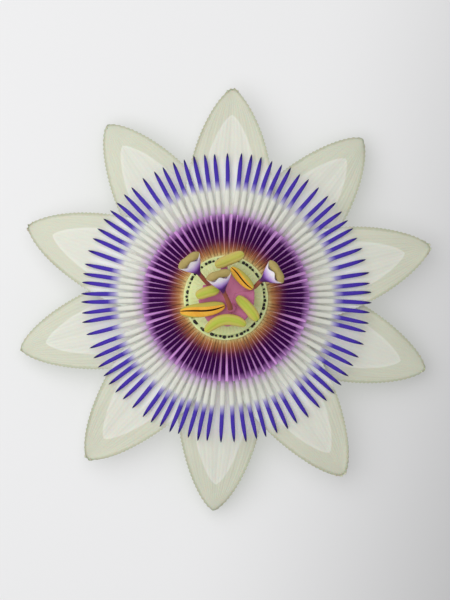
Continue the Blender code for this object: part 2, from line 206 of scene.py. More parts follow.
class Recipe:
    """A material under construction."""

    def __init__(self, name, **constants):
        self.material = bpy.data.materials.new(name)
        self.material.use_nodes = True
        self.tree = self.material.node_tree
        self.shader = self.tree.nodes["Principled BSDF"]
        for key, value in constants.items():
            self.shader.inputs[key.replace("_", " ")].default_value = value

    def node(self, kind, settings=None, inputs=None, output=0):
        """Add one node: its settings first, then the values or links of its sockets."""
        made = self.tree.nodes.new(kind)
        for key, value in (settings or {}).items():
            setattr(made, key, value)
        for key, value in (inputs or {}).items():
            if isinstance(value, Value):
                self.tree.links.new(value.socket, made.inputs[key])
            else:
                made.inputs[key].default_value = value
        return Value(self, made.outputs[output])

    def math(self, operation, *values):
        return self.node("ShaderNodeMath", {"operation": operation}, dict(enumerate(values)))

    def spot(self):
        """Object coordinates in metres, measured from the flower's axis."""
        place = self.node("ShaderNodeTexCoord", output="Object")
        return self.node("ShaderNodeMapping", {}, {"Vector": place, "Location": -AXIS})

    def radius(self, spot, end):
        """Distance from the flower's axis as a share of an end distance in mm."""
        flat = self.node("ShaderNodeVectorMath", {"operation": "MULTIPLY"},
                         {0: spot, 1: (1, 1, 0)})
        length = self.node("ShaderNodeVectorMath", {"operation": "LENGTH"}, {0: flat}, "Value")
        return length * (1 / (end * MM))

    def part(self, vector, axis):
        return self.node("ShaderNodeSeparateXYZ", {}, {0: vector}, axis)

    def stored(self, name):
        return self.node("ShaderNodeAttribute", {"attribute_name": name}, {}, "Fac")

    def noise(self, scale, detail=3.0, vector=None):
        return self.node("ShaderNodeTexNoise", {}, {"Scale": scale, "Detail": detail,
                                                    "Vector": vector or self.spot()})

    def cloud_and_grain(self, cloud, grain, cloud_detail=3.0, grain_detail=3.0):
        """A broad noise and a fine one, from their scales."""
        spot = self.spot()
        return self.noise(cloud, cloud_detail, spot), self.noise(grain, grain_detail, spot)

    def step(self, value, low, high, to_low=0.0, to_high=1.0):
        """A soft step from one number to another between low and high."""
        return self.node("ShaderNodeMapRange", {"interpolation_type": "SMOOTHSTEP"},
                         {0: value, 1: low, 2: high, 3: to_low, 4: to_high})

    def mix(self, share, one, two):
        """A colour between two colours, which may be given as screen colours."""
        one, two = (paint(shade) if isinstance(shade, tuple) else shade for shade in (one, two))
        return self.node("ShaderNodeMix", {"data_type": "RGBA"}, {0: share, 6: one, 7: two}, 2)

    def clouded(self, cloud, one, two):
        """A colour that drifts between two with a noise."""
        return self.mix(self.step(cloud, 0.3, 0.7), one, two)

    def ramp(self, value, stops, end):
        """A colour for a value from 0 to 1, from stops that run up to an end place."""
        made = self.node("ShaderNodeValToRGB", {}, {0: value})
        ramp = made.socket.node.color_ramp.elements
        while len(ramp) < len(stops):
            ramp.new(1)
        for element, (place, shade) in zip(ramp, stops):
            element.position = place / end
            element.color = paint(shade)
        return made

    def lit(self, shade, share):
        """A colour made lighter or darker by a number around 1."""
        grey = self.node("ShaderNodeCombineColor", {}, {0: share, 1: share, 2: share})
        return self.node("ShaderNodeMix", {"data_type": "RGBA", "blend_type": "MULTIPLY"},
                         {0: 1.0, 6: shade, 7: grey}, 2)

    def set(self, socket, value):
        self.tree.links.new(value.socket, self.shader.inputs[socket])

    def bump(self, height, depth):
        """Surface relief: height from 0 to 1, depth in metres."""
        self.set("Normal", self.node("ShaderNodeBump", {}, {"Height": height, "Distance": depth,
                                                           "Strength": 1.0}))

    def finish(self, shade, grain, uneven, rough, relief, depth):
        """Set a colour that the grain makes uneven, a relief, and a roughness that the grain
        varies, given as its lowest value and its spread."""
        if uneven:
            shade = self.lit(shade, 1 - uneven / 2 + grain * uneven)
        self.set("Base Color", shade)
        if rough:
            self.set("Roughness", rough[0] + grain * rough[1])
        self.bump(relief, depth)
        return self.material


def colour(red, green, blue):
    """A linear colour from the three numbers of a screen colour, 0 to 255."""
    shares = [value / 255 for value in (red, green, blue)]
    return tuple(s / 12.92 if s <= 0.04045 else ((s + 0.055) / 1.055) ** 2.4 for s in shares)


def paint(shade):
    return (*colour(*shade), 1)


print("a pale colour in linear numbers:", [round(v, 3) for v in colour(222, 224, 212)])

# %% [markdown]
# ## Camera, light and table
# The flower lies on its back and is seen from straight above.  An orthographic camera has no
# perspective, so the ray of filaments stays even.  One broad soft light stands at the upper left,
# and a pale sky fills the shadows.

# %% Camera and light
VIEW_HEIGHT = 128.6 * MM
VIEW_SHIFT = Vector((-0.18, -0.47, 0)) * MM
CAMERA_HEIGHT = 0.6
scene = bpy.context.scene
scene.view_settings.view_transform = "Standard"
camera = bpy.data.objects.new("camera", bpy.data.cameras.new("camera"))
scene.collection.objects.link(camera)
camera.data.type = "ORTHO"
camera.data.ortho_scale = VIEW_HEIGHT
camera.location = AXIS + VIEW_SHIFT + Vector((0, 0, CAMERA_HEIGHT))
scene.camera = camera

KEY_PLACE = Vector((-0.10, 0.045, 0.24))
KEY_SIZE = 0.34
KEY_POWER = 0.58
SKY = 0.42
key = bpy.data.objects.new("key", bpy.data.lights.new("key", "AREA"))
scene.collection.objects.link(key)
key.data.size = KEY_SIZE
key.data.energy = KEY_POWER
key.location = KEY_PLACE
key.rotation_euler = (AXIS - KEY_PLACE).to_track_quat("-Z", "Y").to_euler()
world = bpy.data.worlds.new("sky")
scene.world = world
world.use_nodes = True
sky = world.node_tree.nodes["Background"].inputs
sky["Color"].default_value = (1, 1, 1, 1)
sky["Strength"].default_value = SKY
print("camera sees", round(VIEW_HEIGHT / MM), "mm; key light at",
      [round(v, 2) for v in KEY_PLACE])

# %% [markdown]
# The table is a large sheet of pale card.  It glows a little by itself, painted light that keeps
# the shadows on it light, as in a catalogue picture.  It is faintly cloudy, and its colour is
# painted a little greyer away from the key light, a painted shade for the light's fall-off.

# %% The table
TABLE_SIZE = 3.0
TABLE_GAP = 0.0002              # keeps the stalk's end and the table top apart
PAINTED_GLOW = 0.45                     # share of the card's brightness that it gives off itself: painted light
CARD = (239, 239, 240)
table = start("plane", "table", size=TABLE_SIZE)
table.location.z = AXIS.z - TABLE_GAP
settle(table)
card = Recipe("table card", Roughness=0.9, Emission_Strength=PAINTED_GLOW)
cloud = card.noise(6.0, 2.0)
place = card.spot()
away = card.part(place, 0) * 0.97 - card.part(place, 1) * 0.25
# painted shade: the card is darker away from the key light, standing for the light's fall-off
grey = card.step(away, 0.001, 0.095, 1.0, 0.55) * (0.99 + cloud * 0.02)
card.set("Base Color", card.lit(paint(CARD), grey * (1 - PAINTED_GLOW)))
# painted light: the card gives off light of its own, which keeps the shadows on it light
card.set("Emission Color", card.lit(paint(CARD), grey))
table.data.materials.append(card.material)
print("table top at", round(table.data.vertices[0].co.z / MM, 2), "mm")

# %% [markdown]
# ## Tepals
# Five sepals and five petals look alike from above: a claw that widens to a broad blade with a
# rounded point, and a grey-green margin round a paler middle.  A thickened outline would be flat,
# so each one is a fine grid whose vertices follow a rule: outline, fine teeth along the margin,
# midrib, veins, a lifted edge and the droop that the whole flower shares.  Solidify then gives it
# its thickness downwards.

# %% The tepal's outline
TEPAL_BASE = 7.6
TEPAL_WIDEST = 22.0
TEPAL_HALF_WIDTH = 9.35
TIP_POWER = 1.65
TIP_ROOT = 0.68                 # below 1 for a rounded tip
CLAW_HALF_WIDTH = 3.7
MARGIN = 3.2                    # width of the darker margin at the sides
MARGIN_AT_TIP = 5.6
DROOP_START = 12.0
DROOP_END = 45.15
DROOP = 5.0
DROOP_POWER = 1.6
TOOTH = 0.11                    # height of the fine teeth along the edge
TEETH_PER_MM = 1.25
VEINS = 4                       # veins on each side of the midrib


def passed(value, low, high):
    """How far a value has come from low to high, held between 0 and 1."""
    return min(max((value - low) / (high - low), 0), 1)


def hump(offset, width):
    """A smooth hump that is 1 in the middle and fades to 0 past its width."""
    return math.exp(-(offset / width) ** 2)


def droop(radius):
    """How far the flower has fallen at this distance from the axis, in mm."""
    reach = max(radius - DROOP_START, 0) / (DROOP_END - DROOP_START)
    return DROOP * reach ** DROOP_POWER


def half_width(along, length, widest, power, root):
    """Half width of a leaf shape that widens from its claw and closes in a rounded point."""
    if along > TEPAL_WIDEST:
        t = (along - TEPAL_WIDEST) / (length - TEPAL_WIDEST)
        return widest * max(1 - min(t, 1) ** power, 0) ** root
    t = (along - TEPAL_BASE) / (TEPAL_WIDEST - TEPAL_BASE)
    return CLAW_HALF_WIDTH + (widest - CLAW_HALF_WIDTH) * math.sin(t * math.pi / 2)


print("half width at 30 mm:",
      round(half_width(30, 45, TEPAL_HALF_WIDTH, TIP_POWER, TIP_ROOT), 2), "mm")

# %% [markdown]
# The rule also notes how far inside the pale middle and how far from the edge each vertex lies,
# because the material can't read a margin of even width from plain coordinates.

# %% The tepal's rule
CROWD_AT_TIP = 1.35             # above 1 the rows of vertices crowd towards the tip,
CROWD_AT_EDGE = 1.25            # and the columns towards the edges
NARROWEST = 0.15
PALE_POWER = 1.7
PALE_ROOT = 0.7
VEIN_HEIGHT = 0.035
MIDRIB_DEPTH = 0.22
MIDRIB_WIDTH = 0.45
RIPPLE_START = 25
RIPPLE_FULL = 33
RIPPLE_PER_MM = 0.42
SUNK = 0.05                     # the skin lies this far below the node's top


def tepal(node, thickness, curl, seed):
    """Model one tepal; also return its bearing, its length and how many vertices are its top."""
    bearing, length = reach_of(node)
    level = height_of(node) - max(curl, 0)
    chance = random.Random(seed)
    phase = chance.uniform(0, math.tau)
    bend = chance.uniform(-0.35, 0.35)
    wave = chance.uniform(0.10, 0.22)
    piece = start("grid", f"{node}_blade", x_subdivisions=170, y_subdivisions=44, size=2 * MM)
    pale, rim = [], []

    def rule(p):
        share = 1 - (1 - (p.x + 1) / 2) ** CROWD_AT_TIP
        along = TEPAL_BASE + (length - TEPAL_BASE) * share
        side = math.copysign(1 - (1 - abs(p.y)) ** CROWD_AT_EDGE, p.y)
        wide = half_width(along, length, TEPAL_HALF_WIDTH, TIP_POWER, TIP_ROOT)
        tooth = TOOTH * math.sin(math.tau * TEETH_PER_MM * along + phase * (2 + p.y))
        across = side * (max(wide, NARROWEST) + tooth * abs(side) ** 12)
        pale_end = length - MARGIN_AT_TIP
        middle = half_width(along, pale_end, TEPAL_HALF_WIDTH - MARGIN, PALE_POWER, PALE_ROOT)
        past = max(along - pale_end, 0)
        pale.append(middle - abs(across) - past)
        rim.append(min(wide - abs(across), 1.2 * (length - along)))
        ease = math.sin(math.pi * min(share * 1.1, 1)) ** 0.5
        vein = VEIN_HEIGHT * math.cos(math.tau * VEINS * side) * ease
        midrib = -MIDRIB_DEPTH * hump(across, MIDRIB_WIDTH) * ease
        ripple = wave * side ** 2 * math.sin(RIPPLE_PER_MM * along + phase + 2.2 * side)
        ripple *= passed(along, RIPPLE_START, RIPPLE_FULL)
        height = level + curl * side ** 2 - droop(math.hypot(along, across))
        height += vein + midrib + ripple - SUNK
        return Vector((along, across + bend * share ** 6, height))

    reshape(piece, rule)
    note(piece, "pale", pale)
    note(piece, "rim", rim)
    top = len(piece.data.vertices)
    apply_modifier(piece, "SOLIDIFY", thickness=thickness * MM, offset=-1.0)
    note(piece, "under", [float(i >= top) for i in range(len(piece.data.vertices))])
    return piece, bearing, length, top


# %% [markdown]
# The tepal's skin is matt and a little waxy.  From the edge inwards it has a thin dark rim, the
# grey-green margin, a light line and the pale middle, with faint darker veins.  The backs of the
# sepals are leaf green.  A small share of subsurface light stands for light passing through.

# %% The tepal's skin
def tepal_skin(name, back, back_margin):
    skin = Recipe(name, Specular_IOR_Level=0.2, Subsurface_Weight=0.12, Subsurface_Scale=0.0012)
    pale, rim, under = skin.stored("pale"), skin.stored("rim"), skin.stored("under")
    cloud, fleck = skin.cloud_and_grain(260.0, 1500.0, 4.0)
    inside = skin.step(pale + (cloud - 0.5) * 0.3, -0.18, 0.18)
    line = skin.step(pale, -0.1, 0.25) * skin.step(pale, 0.25, 1.0, 1.0, 0.0)
    edge = skin.step(rim + (fleck - 0.5) * 0.6, 0.15, 0.8, 1.0, 0.0)
    side = skin.part(skin.node("ShaderNodeUVMap", {"uv_map": "UVMap"}), 1)
    streak = skin.math("SINE", side * (math.tau * 5 * VEINS) + cloud * 2.0)
    front = skin.mix(inside, (214, 217, 198), (226, 228, 216))
    front = skin.mix(line * 0.4, front, (236, 238, 226))
    front = skin.mix(edge * 0.8, front, (186, 191, 164))
    # painted light: the front is painted whiter near the flower's middle, against the shade that
    # the filaments cast there
    near = skin.step(skin.radius(skin.spot(), 1), 26.5, 32.0, 0.9, 0.0)
    front = skin.mix(near, front, (250, 251, 244))
    front = skin.lit(front, 0.99 + streak * 0.008 + (cloud - 0.5) * 0.04)
    rear = skin.mix(skin.step(cloud, 0.25, 0.75), back, tuple(v * 0.93 for v in back))
    rear = skin.mix(skin.step(rim, 0.1, 1.6, 1.0, 0.0), rear, back_margin)
    rear = skin.lit(rear, 0.97 + streak * 0.03)
    return skin.finish(skin.mix(under, front, rear), fleck, 0, (0.58, 0.12),
                       fleck * 0.5 + streak * 0.25, 0.00005)


sepal_skin = tepal_skin("sepal skin", (150, 174, 106), (206, 214, 178))
petal_skin = tepal_skin("petal skin", (220, 223, 206), (214, 218, 196))
print("skins:", sepal_skin.name, "and", petal_skin.name)

# %% [markdown]
# A sepal has a green keel under its midrib that ends in a soft hook, the awn.  The keel is pushed
# down out of the underside, and the awn is a thin bent cone that is joined on.

# %% Five sepals with a keel and an awn
SEPAL_THICKNESS = 0.5
SEPAL_CURL = -0.25
KEEL = 0.5
KEEL_WIDTH = 0.55
AWN_LENGTH = 3.4
AWN_FROM_TIP = 5.6              # the awn starts this far before the sepal's tip
AWN_REACH = 3.0
AWN_BELOW = 0.85
AWN_HOOK = 1.1


def add_awn(length):
    """A soft green hook at the end of the keel, under the tip."""
    awn = start("cone", "awn", vertices=16, radius1=0.55 * MM, radius2=0.1 * MM,
                depth=AWN_LENGTH * MM)
    edit(awn, bpy.ops.mesh.subdivide, number_cuts=3)

    def rule(p):
        t = p.z / AWN_LENGTH + 0.5
        along = length - AWN_FROM_TIP + AWN_REACH * t
        height = height_of("sepal_1") - droop(along) - AWN_BELOW - AWN_HOOK * t * t
        return Vector((along, p.x, height + p.y))

    reshape(awn, rule)
    for name in ("pale", "rim"):
        note(awn, name, [3.0] * len(awn.data.vertices))
    note(awn, "under", [1.0] * len(awn.data.vertices))
    return awn


for number in range(1, 6):
    node = f"sepal_{number}"
    piece, bearing, length, top = tepal(node, SEPAL_THICKNESS, SEPAL_CURL, number)
    for vert in piece.data.vertices[top:]:
        along, across = vert.co.x / MM, vert.co.y / MM
        run = passed(along, 10, 18) * passed(along, length, length - 4)
        vert.co.z -= KEEL * MM * run * hump(across, KEEL_WIDTH)
    awn = add_awn(length)
    piece = join(f"{node}_blade", [settle(piece, bearing), settle(awn, bearing)])
    hand_over(piece, node, sepal_skin)

# %% [markdown]
# The petals have the same shape without keel and awn, are thinner, and their edges lift.

# %% Five petals
PETAL_THICKNESS = 0.38
PETAL_CURL = 0.3
for number in range(1, 6):
    node = f"petal_{number}"
    piece, bearing, length, top = tepal(node, PETAL_THICKNESS, PETAL_CURL, 10 + number)
    hand_over(settle(piece, bearing), node, petal_skin)

# %% [markdown]
# ## Rods, turned bodies and rings
# Most pieces of the middle are one of three things: a rod that follows a curved line, a body
# that is the same all round, or a ring.  They start as a cylinder, a sphere and a torus, and a
# rule moves the vertices onto the line or the profile.  Both are drawn smoothly through a few
# points, as a bent strip of wood would run.

# %% A smooth line through points
def smooth_point(points, share, closed=False):
    """The point at a share from 0 to 1 of a smooth line through some points."""
    count = len(points) if closed else len(points) - 1
    place = min(max(share, 0), 1) * count
    index = min(int(place), count - 1)
    t = place - index

    def pick(i):
        i = i % len(points) if closed else min(max(i, 0), len(points) - 1)
        return Vector(points[i])

    a, b, c, d = (pick(index + k) for k in (-1, 0, 1, 2))
    return b + ((c - a) * t + (2 * a - 5 * b + 4 * c - d) * t * t
                + (3 * b - a - 3 * c + d) * t ** 3) / 2


def blank_rod(name, sides, cuts):
    """A rod along +X from 0 to 1 mm, with a section of radius 1 mm and rings all along."""
    rod = start("cylinder", name, vertices=sides, radius=MM, depth=MM)

    def lengthwise(edge):
        low, high = (vert.co.z for vert in edge.verts)
        return abs(low - high) > 0.5 * MM

    edit(rod, bpy.ops.mesh.subdivide, "EDGE", lengthwise, number_cuts=cuts)
    reshape(rod, lambda p: Vector((p.z + 0.5, p.x, p.y)))
    return rod


def rod_along(name, points, size, sides, cuts, shape, up=(0, 0, 1), hollow=None):
    """A rod along a line.  size gives half width and half height for a share of the length,
    shape moves a point of the section, and hollow is the depth in mm of the far end, which is
    then divided into a fan round one middle vertex."""
    rod = blank_rod(name, sides, cuts)
    if hollow:
        edit(rod, bpy.ops.mesh.poke, "FACE",
             lambda face: face.calc_center_median().x > 0.999 * MM)
    notes = {"along": [], "across": [], "upper": [], "ahead": []}

    def rule(p):
        share = (1 - math.cos(math.pi * p.x)) / 2
        here = smooth_point(points, share)
        ahead = smooth_point(points, share + 0.02) - smooth_point(points, share - 0.02)
        ahead.normalize()
        side = ahead.cross(Vector(up)).normalized()
        lift = side.cross(ahead)
        in_wall = math.hypot(p.y, p.z) > 0.5
        turn = math.atan2(p.z, p.y) if in_wall else math.pi / 2
        wide, high = size(share)
        spot = shape(share, turn, Vector((0, math.cos(turn) * wide, math.sin(turn) * high)))
        if not in_wall:
            spot = Vector((-hollow, 0, 0))
        for key, value in zip(notes, (share, math.cos(turn), math.sin(turn), spot.x)):
            notes[key].append(value)
        return here + ahead * spot.x + side * spot.y + lift * spot.z

    reshape(rod, rule)
    for key, values in notes.items():
        note(rod, key, values)
    return rod


def spun(blank, profile, share_at, shape, closed=False):
    """Move a round blank's vertices onto a profile of (radius, height) points."""
    points = [(radius, 0, height) for radius, height in profile]

    def rule(p):
        reach, bearing = math.hypot(p.x, p.y), math.atan2(p.y, p.x)
        share = share_at(reach, p.z)
        spot = smooth_point(points, share, closed)
        if shape:
            spot = shape(share, bearing, spot)
        radius = spot.x if reach > 1e-5 else 0
        return Vector((math.cos(bearing) * radius, math.sin(bearing) * radius, spot.z))

    reshape(blank, rule)
    return blank


def turned(name, profile, segments, rings, shape):
    """A closed body round the axis; the profile runs from its bottom to its top."""
    ball = start("uv_sphere", name, segments=segments, ring_count=rings, radius=MM)
    return spun(ball, profile, lambda reach, z: math.acos(max(-1, min(1, -z))) / math.pi, shape)


def ring_of(name, profile, segments, sides, shape=None):
    """A ring round the axis; its closed profile starts at the outer edge and goes over the top."""
    ring = start("torus", name, major_radius=3 * MM, minor_radius=MM, major_segments=segments,
                 minor_segments=sides)
    return spun(ring, profile, lambda reach, z: math.atan2(z, reach - 3) / math.tau % 1, shape,
                closed=True)


print("halfway between two points:", smooth_point([(0, 0, 0), (2, 0, 0)], 0.5)[:])

# %% [markdown]
# ## The corona
# The ray is made of many slender filaments in two rows.  Each is an oval rod that is widest
# about two thirds of the way out and runs to a fine point.  A bevelled curve would do, but a mesh
# rod is lighter.  One rod is modelled and copied, and every copy gets its own small sway, length
# and lift, because a perfectly regular ray looks printed.

# %% One filament
FILAMENT_BASE = 8.6
FILAMENT_TIP = reach_of("corona_upper_row")[1]
FILAMENT_HALF_WIDTH = 0.475
FILAMENT_HALF_HEIGHT = 0.24
FILAMENT_CROWDING = 1.25        # above 1 its rings crowd towards the tip
SAG_START = 18.2                # beyond the web the filaments come down onto the petals
SAG_END = 22.0
WIDTHS = ((8.6, 0.70), (10, 0.73), (13, 0.80), (16, 0.91), (19, 1.0), (20.5, 1.16),
          (22.5, 1.16), (24.5, 1.0), (27.8, 0.97), (29, 0.87), (30, 0.70), (30.7, 0.48),
          (31.1, 0.26), (31.3, 0.04))


def taper(radius):
    """Half width of a filament, as a share of its widest."""
    for (near, one), (far, two) in zip(WIDTHS, WIDTHS[1:]):
        if radius <= far:
            return one + (two - one) * max(radius - near, 0) / (far - near)
    return WIDTHS[-1][1]


def filament(blank, name, level, sag, chance):
    """One filament along +X, with its own length, sway and lift."""
    rod = copy_of(blank, name)
    shorter = chance.uniform(0, 0.35)
    sway = chance.uniform(-0.16, 0.16)
    lift = chance.uniform(-0.08, 0.08)
    phase = chance.uniform(0, math.tau)

    def rule(p):
        share = 1 - (1 - p.x) ** FILAMENT_CROWDING
        radius = FILAMENT_BASE + (FILAMENT_TIP - shorter - FILAMENT_BASE) * share
        thin = taper(radius + shorter)
        side = sway * share ** 2 + 0.05 * math.sin(phase + radius * 0.6) * share
        sagged = passed(radius, SAG_START, SAG_END)
        height = level - droop(radius) + lift * share ** 2
        height -= sag * sagged * sagged * (3 - 2 * sagged)
        return Vector((radius, p.y * FILAMENT_HALF_WIDTH * thin + side,
                       height + p.z * FILAMENT_HALF_HEIGHT * thin ** 0.7))

    reshape(rod, rule)
    return rod


print("filament tips at", round(FILAMENT_TIP, 1), "mm")

# %% [markdown]
# Colour along a filament depends only on its distance from the axis, so one material serves all:
# tan at the root, deep purple, a soft fade to greenish white, then blue to a dark tip.  A little
# noise moves the fades, because no two filaments change at the same place.

# %% The corona's colours
RAMP_END = 32.0
CORONA_STOPS = ((9.2, (222, 200, 140)), (10.0, (184, 132, 84)), (11.0, (144, 82, 64)),
                (12.2, (84, 22, 66)), (13.4, (52, 2, 66)), (16.4, (54, 4, 70)),
                (17.4, (142, 94, 156)), (18.5, (204, 180, 210)), (20.2, (224, 224, 214)),
                (22.8, (224, 226, 216)), (24.0, (158, 150, 204)), (25.2, (76, 58, 172)),
                (29.2, (72, 52, 168)), (30.4, (48, 34, 116)), (31.3, (24, 18, 52)))


def corona_skin():
    skin = Recipe("corona skin", Specular_IOR_Level=0.05)
    drift, grain = skin.cloud_and_grain(420.0, 2600.0, 2.0)
    moved = skin.radius(skin.spot(), RAMP_END) + (drift - 0.5) * 0.035
    shade = skin.ramp(moved, CORONA_STOPS, RAMP_END)
    return skin.finish(shade, grain, 0.12, (0.6, 0.2), grain, 0.00003)


ray_skin = corona_skin()
print("colour stops along a filament:", len(CORONA_STOPS))

# %% [markdown]
# A row is one growth: its filaments spring from a flat collar under the inner plate.  The two
# rows take turns.  Filaments stand a little wider apart over the middle of each tepal, so their
# bearings follow from those of the tepals.

# %% Two rows of filaments
# CAD node, first filament, height of the filaments, their sag, height of the collar
ROWS = (("corona_lower_row", 0, 11.22, 0.5, 11.12), ("corona_upper_row", 1, 11.52, 0.8, 11.67))
COLLAR_HALF_HEIGHT = 0.12
FILAMENTS_PER_TEPAL = 8         # one more where two tepals stand far apart
FAR_APART = 37.5                # degrees
FIRST_FILAMENT = 1.0            # degrees past a tepal's middle
WIDE_GAP = 5.2                  # degrees to the next filament on both sides of that one


def ray_bearings():
    """Bearings in degrees of all filaments, in turn."""
    tepals = sorted(math.degrees(reach_of(f"{kind}_{number}")[0]) % 360
                    for kind in ("sepal", "petal") for number in range(1, 6))
    bearings = []
    for this, following in zip(tepals, tepals[1:] + [tepals[0] + 360]):
        count = FILAMENTS_PER_TEPAL + (following - this > FAR_APART)
        gap = (following - this - 2 * WIDE_GAP) / (count - 2)
        bearings.append(this + FIRST_FILAMENT)
        bearings += [this + FIRST_FILAMENT + WIDE_GAP + gap * i for i in range(count - 1)]
    return bearings


RAYS = ray_bearings()


def collar(level):
    """The flat ring that a row of filaments springs from."""
    low, high = level - COLLAR_HALF_HEIGHT, level + COLLAR_HALF_HEIGHT
    return ring_of("collar", ((9.0, level), (8.8, high), (4.4, high), (4, level), (4.4, low),
                              (8.8, low)), 120, 12)


for row, (node, parity, level, sag, collar_level) in enumerate(ROWS):
    chance = random.Random(40 + row)
    blank = blank_rod("filament", sides=10, cuts=24)
    rods = [settle(collar(collar_level))]
    for number in range(parity, len(RAYS), 2):
        rods.append(settle(filament(blank, f"filament_{number}", level, sag, chance),
                           math.radians(RAYS[number])))
    bpy.data.objects.remove(blank)
    hand_over(join(f"{node}_rays", rods), node, ray_skin)

# %% [markdown]
# Under the rays lies a pleated lilac web.  A fold stands up between each two filaments, so
# bright lilac lines show in the gaps, and its colours are painted lighter, most near the roots:
# painted light that lifts the shade in those gaps.  A torus with a few columns of vertices to
# each filament is enough to carry the folds.

# %% The pleated web
COLUMNS_PER_FILAMENT = 8
WEB_EDGE = 17.9
WEB_RUN = 13.5
WEB_TOP = 10.68
WEB_UNDER = 10.45
WEB_MIDDLE = (WEB_TOP + WEB_UNDER) / 2
FOLD = 0.82
INNER_FOLD = 0.5                # how much higher the folds stand near the axis
# painted light: these colours are lighter than the web's own lilac and tan, most near the roots,
# to lift the shade in the gaps between the filaments
WEB_STOPS = ((9.2, (252, 236, 176)), (10.4, (252, 210, 170)), (11.6, (246, 178, 196)),
             (13.0, (244, 172, 240)), (15.0, (240, 172, 250)), (17.9, (242, 182, 250)))
chance = random.Random(3)
FOLDS = [(math.radians((this + following) / 2), chance.uniform(0.008, 0.0135))
         for this, following in zip(RAYS, RAYS[1:] + [RAYS[0] + 360])]


def web_shape(share, bearing, spot):
    """Raise the folds on the web's upper side and let the web droop as the rays do."""
    if spot.z > WEB_MIDDLE:
        fold = max(hump((bearing - middle + math.pi) % math.tau - math.pi, broad)
                   for middle, broad in FOLDS)
        high = FOLD + INNER_FOLD * passed(spot.x, 13, 10.5)
        spot.z += high * fold * passed(spot.x, 8.2, 8.8)
    spot.z -= droop(spot.x)
    return spot


steps = [0.05 + WEB_RUN * t / 15 for t in range(16)]
web_line = [(WEB_EDGE, WEB_MIDDLE), *((WEB_EDGE - step, WEB_TOP) for step in steps),
            (4.0, WEB_MIDDLE), *((WEB_EDGE - step, WEB_UNDER) for step in reversed(steps))]
web = ring_of("corona_web_pleats", web_line, COLUMNS_PER_FILAMENT * len(RAYS), 68, web_shape)
lilac = Recipe("lilac web", Roughness=0.6, Specular_IOR_Level=0.25)
shade = lilac.ramp(lilac.radius(lilac.spot(), RAMP_END), WEB_STOPS, RAMP_END)
cloud = lilac.noise(900.0)
hand_over(web, "corona_web", lilac.finish(shade, cloud, 0.1, None, cloud, 0.00004))

# %% [markdown]
# ## The plate, its knobs and the lid
# Inside the rays lies a pale green plate with a ring of short knobbed threads, almost black and
# shiny, in loose clusters.  One club is a sphere drawn out below into a stalk, and is copied with
# its own size and place.

# %% The plate
plate = ring_of("inner_corona_plate", ((9.05, 12.25), (8.9, 12.4), (8.2, 12.38), (6, 12.36),
                                       (4.2, 12.36), (4, 12.25), (4.2, 12.12), (6, 12.1),
                                       (8.4, 12.1), (8.9, 12.12)), 328, 40)
leaf = Recipe("pale green flesh", Specular_IOR_Level=0.35, Subsurface_Weight=0.1,
              Subsurface_Scale=0.001)
cloud, grain = leaf.cloud_and_grain(500.0, 2500.0)
shade = leaf.clouded(cloud, (230, 240, 178), (222, 232, 162))
leaf.finish(shade, grain, 0.1, (0.4, 0.2), cloud * 0.6 + grain * 0.4, 0.00006)
hand_over(plate, "inner_corona", leaf.material)

# %% The knobbed threads
KNOBS = 57
KNOB_CIRCLE = 8.33
KNOB_FOOT = 12.3
KNOB_HEAD = 0.33
NECK = -0.45                    # below this height of the sphere the club is a stalk
STALK_WIDTH = 0.55
STALK_STRETCH = 1.2


def knob(blank, chance, number):
    """One little club: a head on a short stalk."""
    club = copy_of(blank, f"knob_{number}")
    size = chance.uniform(0.7, 1.2)
    long = chance.uniform(0.9, 1.35) * size
    tall = chance.uniform(0.48, 0.68)
    out = KNOB_CIRCLE + chance.uniform(-0.1, 0.1)
    bearing = math.tau * (number + 0.25 + chance.uniform(-0.34, 0.34)) / KNOBS

    def rule(p):
        head = KNOB_HEAD * (STALK_WIDTH if p.z < NECK else 1)
        height = KNOB_FOOT + tall * (p.z + 1) / 2 * (STALK_STRETCH if p.z < NECK else 1)
        return Vector((out + p.x * head * size, p.y * head * long, height))

    reshape(club, rule)
    return settle(club, bearing)


chance = random.Random(7)
blank = start("uv_sphere", "knob", segments=12, ring_count=9, radius=MM)
clubs = [knob(blank, chance, number) for number in range(KNOBS)]
bpy.data.objects.remove(blank)
dark = Recipe("black knobs", Specular_IOR_Level=0.4)
grain = dark.noise(2200.0)
shade = dark.mix(grain, (14, 12, 16), (40, 30, 26))
hand_over(join("inner_corona_knobs", clubs), "inner_corona",
          dark.finish(shade, grain, 0, (0.22, 0.3), grain, 0.00003))

# %% [markdown]
# The lid over the nectar is a shallow dome with fine folds that run outwards.

# %% The pleated lid
PLEATS = 60
PLEAT_HEIGHT = 0.06
LID_RIM = 12.85                 # height of its outer edge


def lid_shape(share, bearing, spot):
    if spot.z > LID_RIM:
        inside = passed(spot.x, 2.2, 3.7) * passed(spot.x, 8, 6.8)
        spot.z += PLEAT_HEIGHT * inside * math.cos(PLEATS * bearing)
    return spot


lid = ring_of("operculum_lid", ((8.0, LID_RIM), (7.8, 12.98), (6.5, 13.1), (5, 13.22), (3.2, 13.3),
                                (2.3, 13.32), (2.0, 13.1), (2.2, 12.82), (4, 12.72),
                                (7.6, 12.72)), 480, 48, lid_shape)
hand_over(lid, "operculum", leaf.material)

# %% [markdown]
# ## The mauve column and its star
# A column lifts the stamens and the ovary above the rays.  Near its top the stamens spread as a
# flat mauve star, and a short peg carries each anther.  The star's outline is the packed
# model's, so it starts as a copy of that node: its loose triangles are welded, a voxel remesh
# makes one even skin, and a smoothing rounds every corner as in a fleshy plant part.

